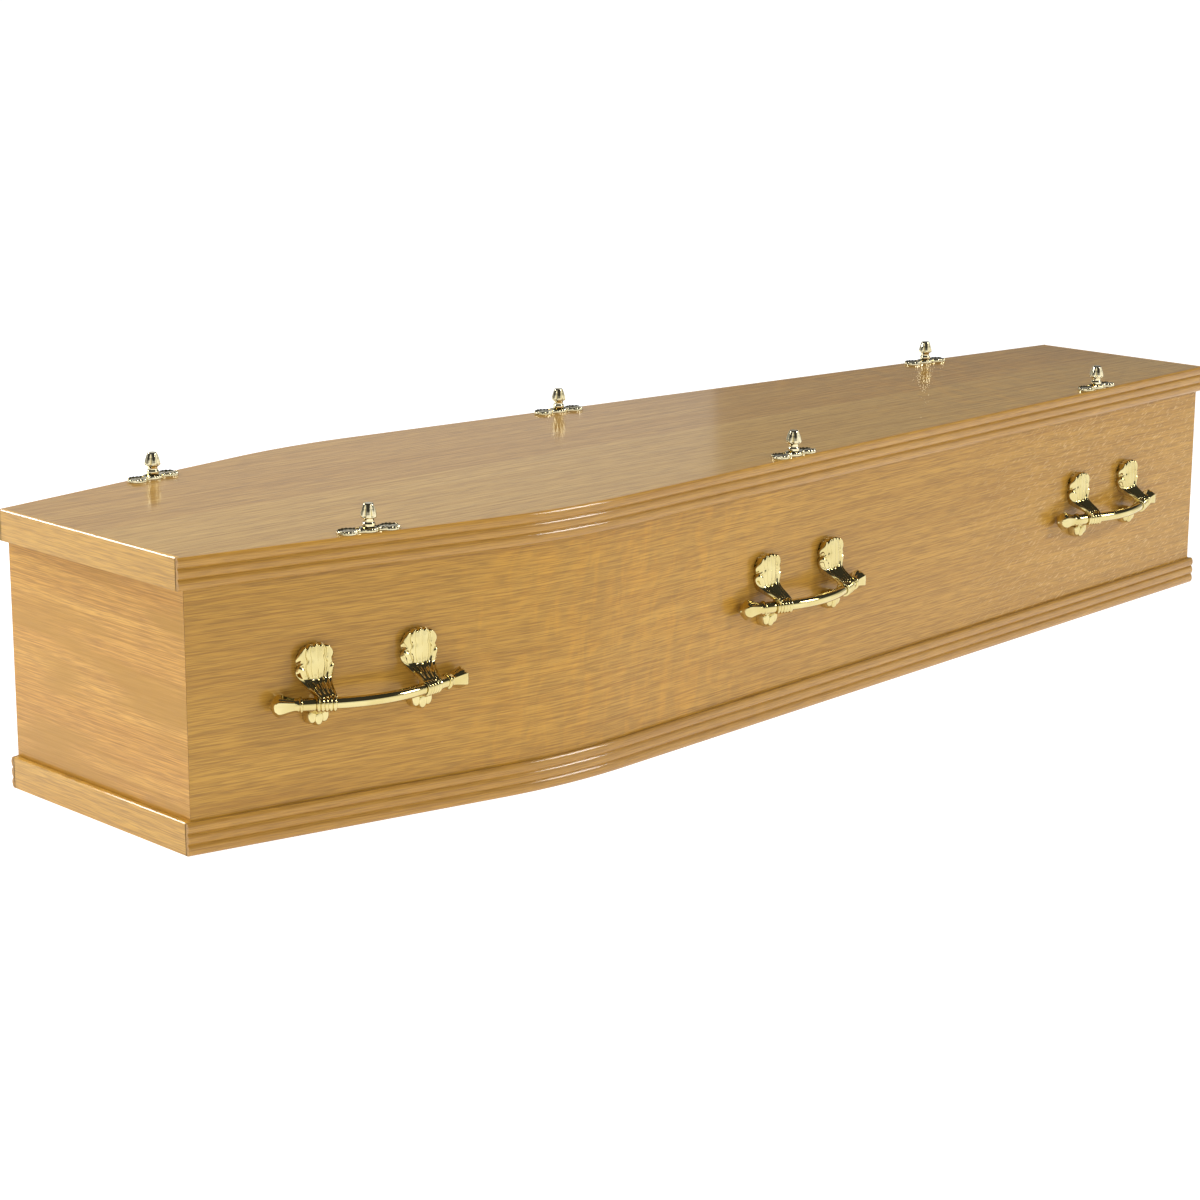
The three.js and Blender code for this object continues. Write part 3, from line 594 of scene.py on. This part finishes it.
def two_sheets(front, back_sheet):
    """A closed shell from a front grid and a back grid of the same size, with a strip round their edges."""
    rows, columns = front.shape[:2]
    number = np.arange(rows * columns).reshape(rows, columns)
    rim = np.concatenate([number[0, :-1], number[:-1, -1], number[-1, :0:-1], number[:0:-1, 0]])
    after = np.roll(rim, -1)
    strip = np.stack([rim, after, after + rows * columns, rim + rows * columns], -1)
    face = quads(rows, columns)
    faces = np.concatenate([face[:, ::-1], face + rows * columns, strip])
    return shell(np.concatenate([front.reshape(-1, 3), back_sheet.reshape(-1, 3)]), faces)


def ridge(value, middle, half):
    """A soft ridge: 1 at the middle, falling off as exp(-d²), where d is the distance over half its width."""
    return np.exp(-(((value - middle) / half) ** 2))


def leaf_shell(across=97, up=80):
    """s runs from -1 to 1 across and t from 0 to 1 up. x = s w(t). The top edge is an arch with five small
    lobes. y = lean(z) + crown (1 - s²) - ridged grooves on the neck - fine flutes above - a valley inside
    each row of side lobes - a fold between the two lobes of a row + a raised rim along the neck, less the
    roll of the edges."""
    s = np.sin(math.pi / 2 * np.linspace(-1, 1, across))[None, :]
    t = np.linspace(0, 1, up)[:, None] ** 0.9
    width = smooth_curve(LEAF_FOOT + (LEAF_SHOULDER - LEAF_FOOT) * t, LEAF_WIDTH)
    lobes = np.abs(np.cos(LEAF_LOBES * math.pi / 2 * s))
    top = LEAF_SHOULDER + (LEAF_TOP - LEAF_SHOULDER) * (1 - s**2) ** 0.6 + LOBE_RISE * (lobes**0.7 - 0.7)
    z = LEAF_FOOT + (top - LEAF_FOOT) * t
    x = s * width
    lean = smooth_curve(z + ZIGZAG * (lobes - 0.5) * ramp(z, 8, 4), LEAF_LEAN)
    side = np.abs(s)
    neck, blade = 1 - ramp(z, 14, 12), ramp(z, 14, 14)
    flutes = FLUTE * blade * (1 - np.abs(np.sin(5.5 * math.pi * s / 2 + 0.4)) ** 0.5)
    flutes *= 1 - ramp(side, 0.52, 0.1)
    front_out = (lean + (CROWN * (1 - s**2) - 0.8) * blade - GROOVE * neck * (1 - lobes**0.6) - flutes
                 - VALLEY * blade * ridge(side, 0.60 - 0.06 * blade, 0.055)
                 - NOTCH * (1 - lobes**0.5) * ramp(t, 0.88, 0.1)
                 - FOLD * ridge(z, 42 - 12 * (1 - side), 1.6) * ramp(side, 0.6, 0.12)
                 + SWELL * blade * ridge(side, 0.80, 0.11) + RIM * neck * ridge(side, 0.86, 0.08)
                 - (SIDE_ROLL + NECK_ROLL * neck) * ramp(side, 0.88, 0.12) ** 1.3
                 - TOP_ROLL * ramp(t, 0.965, 0.035) ** 2)
    front = np.stack([x, front_out - STAND_OFF, z], -1)
    solid = ramp(z, 9, 10)
    back_out = GAP + np.maximum(lean - 9, 0) * (1 - solid)
    back_sheet = np.stack(np.broadcast_arrays(x * (0.95 - 0.06 * solid), back_out - STAND_OFF,
                                              z - 1.5 * t * solid), -1)
    return two_sheets(front, back_sheet)


leaf = leaf_shell()
print("leaf faces:", len(leaf["faces"]))

# %% [markdown]
# Behind the leaf's neck a ribbed collar holds the bar. A short flat arm runs back from it to the panel, where
# three lobes like half eggs make the foot. Each is a small grid of its own, and they are joined in one piece.

# %% Collar, arm and foot
COLLAR_OUTSIDE, COLLAR_INSIDE, COLLAR_RIB, COLLAR_RIBS = 8.1, 7.1, 1.6, 5
FOOT_LOBES = [(-7.6, -18.0, 7.0, 11.0, 14.6), (0, -20.6, 7.0, 11.2, 15.8), (7.6, -18.0, 7.0, 11.0, 14.6)]


def turned_z(angle):
    """The matrix of a turn about Z."""
    c, s = math.cos(angle), math.sin(angle)
    return np.array([[c, -s, 0], [s, c, 0], [0, 0, 1]])


def collar_shell(around=40, along=50):
    """A ring round the bar: outside radius + rib height × |sin| over the ribs, inside the bar's passage."""
    share = np.linspace(0, 1, along)
    outer = COLLAR_OUTSIDE + COLLAR_RIB * np.abs(np.sin(COLLAR_RIBS * math.pi * share)) ** 0.6
    x = np.concatenate([COLLAR_WIDTH * (share - 0.5), [COLLAR_WIDTH / 2, -COLLAR_WIDTH / 2]])
    r = np.concatenate([outer, [COLLAR_INSIDE, COLLAR_INSIDE]])
    angle = angles_round(around)[:, None]
    points = np.stack(np.broadcast_arrays(x, r * np.cos(angle), r * np.sin(angle)), -1)
    return shell(points, quads(around, len(x), True, True))


def arm_shell(around=28, along=18):
    """An oval carried down a curve from the back of the collar to the panel, wider at the foot. The curve
    is drawn by three points: (1 - t)² first + 2t (1 - t) second + t² third."""
    t = np.linspace(0, 1, along)[:, None]
    y = (1 - t) ** 2 * -3 + 2 * t * (1 - t) * -16 + t**2 * -26
    z = (1 - t) ** 2 * -5 + 2 * t * (1 - t) * -7 + t**2 * -20
    angle = angles_round(around)[None, :]
    half, thick = 8.5 + 4.5 * t, 4.6 - 1.0 * t
    tilt = np.arctan2(np.gradient(z[:, 0]), np.gradient(y[:, 0]))[:, None]
    across, over = half * np.cos(angle), thick * np.sin(angle)
    points = np.stack(np.broadcast_arrays(across, y - over * np.sin(tilt), z + over * np.cos(tilt)), -1)
    points[..., 1] = np.maximum(points[..., 1], GAP - STAND_OFF)
    return tube(points)


def dome_shell(x, z, half_width, half_height, depth, around=32, rings=12):
    """Half an egg on the panel: (a cos q cosᵏ p, d sin p, c sin q cosᵏ p), k = 0.45, with a flat back."""
    q = angles_round(around)[None, :]
    p = np.linspace(0, 0.49 * math.pi, rings)[:, None]
    points = np.stack(np.broadcast_arrays(x + half_width * np.cos(q) * np.cos(p) ** 0.45,
                                          GAP - STAND_OFF + depth * np.sin(p),
                                          z + half_height * np.sin(q) * np.cos(p) ** 0.45), -1)
    return tube(points)


foot_lobes = [dome_shell(*lobe) for lobe in FOOT_LOBES]
bracket = {turn: joined([leaf, moved(collar_shell(), turned_z(-turn * BAR_SPLAY)), arm_shell(), *foot_lobes])
           for turn in (1, -1)}
print("bracket faces:", len(bracket[1]["faces"]))

# %% [markdown]
# The six handles are alike, so each is the same bar and two brackets, turned to face out from its panel and
# moved to its place. Only the collars differ: they follow the bar, which slopes one way at each end.

# %% Six handles
def place_on(side, x, out):
    """Turn and place of a fitting at x on one side, out from the panel's face."""
    normal = head_normal if x < SHOULDER_AT else foot_normal
    angle = math.atan2(side * normal[1], normal[0]) - math.pi / 2
    return turned_z(angle), np.array([x - BODY_LENGTH / 2, side * line_y(normal, out, x)[0], 0.0])


for hand, side_sign in (("left", 1), ("right", -1)):
    for station, x_at in HANDLES_AT.items():
        turn_matrix, spot = place_on(side_sign, x_at, STAND_OFF)
        spot[2] = HANDLE_HEIGHT
        name = f"{hand}_{station}"
        piece(f"bar_{name}", moved(bar, turn_matrix, spot), brass, "handle_brass", f"handle_bar_{name}")
        for end in (1, -1):
            number = 1 if end * side_sign < 0 else 2
            here = spot + turn_matrix @ np.array([end * half_spacing, 0, 0])
            piece(f"bracket_{name}_{number}", moved(bracket[end], turn_matrix, here), brass, "handle_brass",
                  f"handle_bracket_{name}_{number}")
print("handles on both sides")

# %% [markdown]
# ## The lid screws
# Each screw stands in an ornamental plate. The plate has a fluted shell at each end with small rounds along
# its edge, a narrow waist and a raised boss. The knob is a closed tulip of six petals on a turned foot.

# %% The plate
PLATE_HALF, PLATE_WIDE, PLATE_THICK, PLATE_HIGHEST = 39.3, 12.7, 2.4, 5.3
SHELL_AT, SHELL_LONG, SHELL_WIDE = 27.0, 12.4, 12.5
BOSS_LONG, BOSS_WIDE, BOSS_RISE, WAIST_WIDE = 11.6, 11.2, 2.6, 6.4
ROUND_PITCH, ROUND_SHARE, RIM_RISE, ROUND_RISE, PLATE_FLUTE = 4.8, 0.05, 0.7, 0.9, 0.35


def plate_shell(along=211, across=41):
    """Half-width w(x): a round shell at each end, a waist, and a round boss about 0, blended by the fifth
    root of the sum of their fifth powers. Small rounds stand in a row along the rim: their height is |sin|
    of the way round the outline over their pitch. Inside the rim the shells are nearly flat, with flutes
    that spread from the waist."""
    x = (PLATE_HALF * np.sin(math.pi / 2 * np.linspace(-1, 1, along)))[:, None]
    u = np.sin(math.pi / 2 * np.linspace(-1, 1, across))[None, :]
    r = np.abs(x)
    shell_w = SHELL_WIDE * np.sqrt(np.clip(1 - ((r - SHELL_AT) / SHELL_LONG) ** 2, 0, 1))
    boss_w = BOSS_WIDE * np.sqrt(np.clip(1 - (r / BOSS_LONG) ** 2, 0, 1))
    waist_w = WAIST_WIDE * np.clip((32 - r) / 10, 0, 1)
    wide = (shell_w**5 + boss_w**5 + waist_w**5) ** 0.2
    way = np.concatenate([[0], np.cumsum(np.hypot(np.diff(x[:, 0]), np.diff(wide[:, 0])))])
    rounds = np.abs(np.sin(math.pi * (way - way[-1] / 2) / ROUND_PITCH))[:, None] ** 0.7
    w = np.clip(wide * (1 - ROUND_SHARE + ROUND_SHARE * rounds), 0.35, PLATE_WIDE)
    y = u * w
    boss = np.exp(-((r / 8.5) ** 4))
    angle = np.arctan2(y, r - 12)
    flute = PLATE_FLUTE * (1 - np.abs(np.cos(5.0 * angle))) * ramp(r, 17, 5)
    inset = (1 - np.abs(u)) * w
    rim = (RIM_RISE + ROUND_RISE * rounds) * ridge(inset, 1.3, 0.8) * (1 - boss)
    edge = ramp(inset, 0, 0.9) ** 0.5
    top = edge * (PLATE_THICK + 0.5 * (1 - u**2) + BOSS_RISE * boss * (1 - u**2) ** 0.5 + rim - flute)
    taper = np.clip((PLATE_HALF - r) / 1.2, 0, 1) ** 0.5
    top_sheet = np.stack(np.broadcast_arrays(x, y, 0.2 + np.minimum(top * taper, PLATE_HIGHEST)), -1)
    under = np.stack(np.broadcast_arrays(x, y, 0 * x), -1)
    return two_sheets(top_sheet, under)


plate_piece = plate_shell()
print("plate faces:", len(plate_piece["faces"]))

# %% [markdown]
# The knob is turned work with petals cut into it, so it is a profile turned about the screw's axis, and its
# radius is then made less between the petals' ridges.

# %% The knob, and six screws
KNOB_FOOT, KNOB_HEIGHT, PETALS, PETAL_GROOVE = 5.9, 26.0, 6, 0.26
KNOB = [(0, 7.5), (0.08, 7.6), (0.12, 7.4), (0.17, 6.5), (0.22, 6.2), (0.30, 6.3), (0.34, 6.7), (0.37, 8.6),
        (0.41, 9.9), (0.46, 10.0), (0.60, 9.3), (0.78, 7.9), (0.90, 6.7), (0.955, 6.1), (0.98, 5.6),
        (1.0, 5.0)]  # share of the height, and radius


def knob_shell(around=72, rows=72):
    """A profile r(h) turned about Z. On the petals r is less between six ridges:
    r (1 - d (1 - |cos 3a| to the power 0.6)), with d the grooves' depth."""
    h = np.linspace(0, 1, rows)
    groove = (PETAL_GROOVE * ramp(h, 0.36, 0.08) * np.clip((1.03 - h) / 0.25, 0, 1))[:, None]
    angle = angles_round(around)[None, :]
    r = smooth_curve(h, KNOB)[:, None] * (1 - groove * (1 - np.abs(np.cos(PETALS / 2 * angle)) ** 0.6))
    z = np.broadcast_to((KNOB_FOOT + KNOB_HEIGHT * h)[:, None], r.shape)
    points = np.stack([r * np.cos(angle), r * np.sin(angle), z], -1)
    return tube(points)


knob_piece = knob_shell()
for hand, side_sign in (("left", 1), ("right", -1)):
    for station, x_at in SCREWS_AT.items():
        turn_matrix, spot = place_on(side_sign, x_at, -SCREW_INSET)
        spot[2] = LID_TOP + GAP
        name = f"{hand}_{station}"
        piece(f"screw_plate_{name}", moved(plate_piece, turn_matrix, spot), plate, "screw_plate",
              f"lid_plate_{name}")
        piece(f"screw_knob_{name}", moved(knob_piece, turn_matrix, spot), plate, "screw_plate",
              f"thumbscrew_{name}")
print("knob faces:", len(knob_piece["faces"]))

# %% [markdown]
# ## The studio
# The photograph was taken on white, in front of a bright wall, with a dark room overhead. Polished metal shows
# all three: it is bright where it faces the floor or the wall in front and dark where it faces up. So the
# floor glows, as a light table does, and the surround is bright low in front and dark elsewhere. A soft light
# high at the front, beyond the shoulder, draws the lines along the beads. One past the far side of the head
# end draws the bright line along the lid's end strip, and a dim panel behind the coffin gives the lid its
# sheen near the head. Another hangs overhead. Two weak and very soft suns fill the head end and the near
# side.

# %% Floor, surround and lights
FLOOR_HALF, FLOOR_UNDER = 60.0, 0.0005  # metres
floor_mesh = bpy.data.meshes.new("floor")
floor_mesh.from_pydata([(x * FLOOR_HALF, y * FLOOR_HALF, -FLOOR_UNDER)
                        for x, y in ((-1, -1), (1, -1), (1, 1), (-1, 1))], [], [(0, 1, 2, 3)])
floor = bpy.data.objects.new("floor", floor_mesh)
bpy.context.scene.collection.objects.link(floor)
floor_finish, floor_tree = new_finish("matt_pale_floor")
add_node(floor_tree, "ShaderNodeOutputMaterial", Surface=add_node(
    floor_tree, "ShaderNodeBsdfPrincipled", Base_Color=linear("#a8a8a8"), Roughness=0.9,
    Emission_Color=linear("#ffffff"), Emission_Strength=0.95).outputs[0])
floor_mesh.materials.append(floor_finish)

world = bpy.data.worlds.new("studio")
bpy.context.scene.world = world
world.use_nodes = True
world.node_tree.nodes.clear()
sky = world.node_tree
way = add_node(sky, "ShaderNodeSeparateXYZ", Vector=add_node(sky, "ShaderNodeTexCoord").outputs["Generated"])
WALL_LIGHT, WALL_BEHIND, ROOM_LIGHT = 1.15, 0.22, 0.05
low = add_node(sky, "ShaderNodeMapRange", Value=way.outputs[2], From_Min=0.16, From_Max=0.34,
               To_Min=WALL_LIGHT, To_Max=0.0)
in_front = add_node(sky, "ShaderNodeMapRange", Value=way.outputs[1], From_Min=-0.45, From_Max=0.15,
                    To_Min=1.0, To_Max=WALL_BEHIND)
wall = add_node(sky, "ShaderNodeMath", {"operation": "MULTIPLY_ADD"}, Value_0=low.outputs[0],
                Value_1=in_front.outputs[0], Value_2=ROOM_LIGHT)
background = add_node(sky, "ShaderNodeBackground", Color=(1.0, 1.0, 1.0, 1), Strength=wall.outputs[0])
add_node(sky, "ShaderNodeOutputWorld", Surface=background.outputs[0])


def softbox(name, direction, distance, width, height, power, aim, seen_in_gloss=True):
    """A rectangular light at a distance in metres from the aim, facing it."""
    lamp = bpy.data.lights.new(name, "AREA")
    lamp.shape, lamp.size, lamp.size_y, lamp.energy = "RECTANGLE", width, height, power
    made = bpy.data.objects.new(name, lamp)
    bpy.context.scene.collection.objects.link(made)
    way = Vector(direction).normalized()
    made.location = Vector(aim) + way * distance
    made.rotation_mode = "QUATERNION"
    made.rotation_quaternion = way.to_track_quat("Z", "Y")
    made.visible_glossy = seen_in_gloss
    made.visible_camera = False


def far_light(name, direction, energy, soft_degrees):
    """A sun in that direction that only matt surfaces see."""
    made = bpy.data.objects.new(name, bpy.data.lights.new(name, "SUN"))
    made.data.energy, made.data.angle = energy, math.radians(soft_degrees)
    made.rotation_mode = "QUATERNION"
    made.rotation_quaternion = Vector(direction).to_track_quat("Z", "Y")
    made.visible_glossy = False
    bpy.context.scene.collection.objects.link(made)


softbox("key", (0.58, -0.64, 0.50), 9.0, width=2.5, height=1.9, power=295, aim=(-0.2, -0.1, 0.2))
softbox("behind_head_end", (-0.21, 0.82, 0.54), 2.4, width=1.0, height=0.5, power=34, aim=(-0.966, 0, 0.338))
softbox("behind_the_lid", (0.6, 0.76, 0.28), 2.5, width=1.8, height=1.0, power=1.7, aim=(-0.75, 0, 0.34))
softbox("overhead", (-0.2, 0.1, 1.0), 3.0, width=2.0, height=1.0, power=80, aim=(-0.45, 0, 0.34),
        seen_in_gloss=False)
far_light("head_end_fill", (-0.95, -0.20, 0.05), energy=1.5, soft_degrees=110)
far_light("side_fill", (0.1, -0.95, 0.2), energy=0.12, soft_degrees=60)
bpy.context.scene.view_settings.view_transform = "Standard"
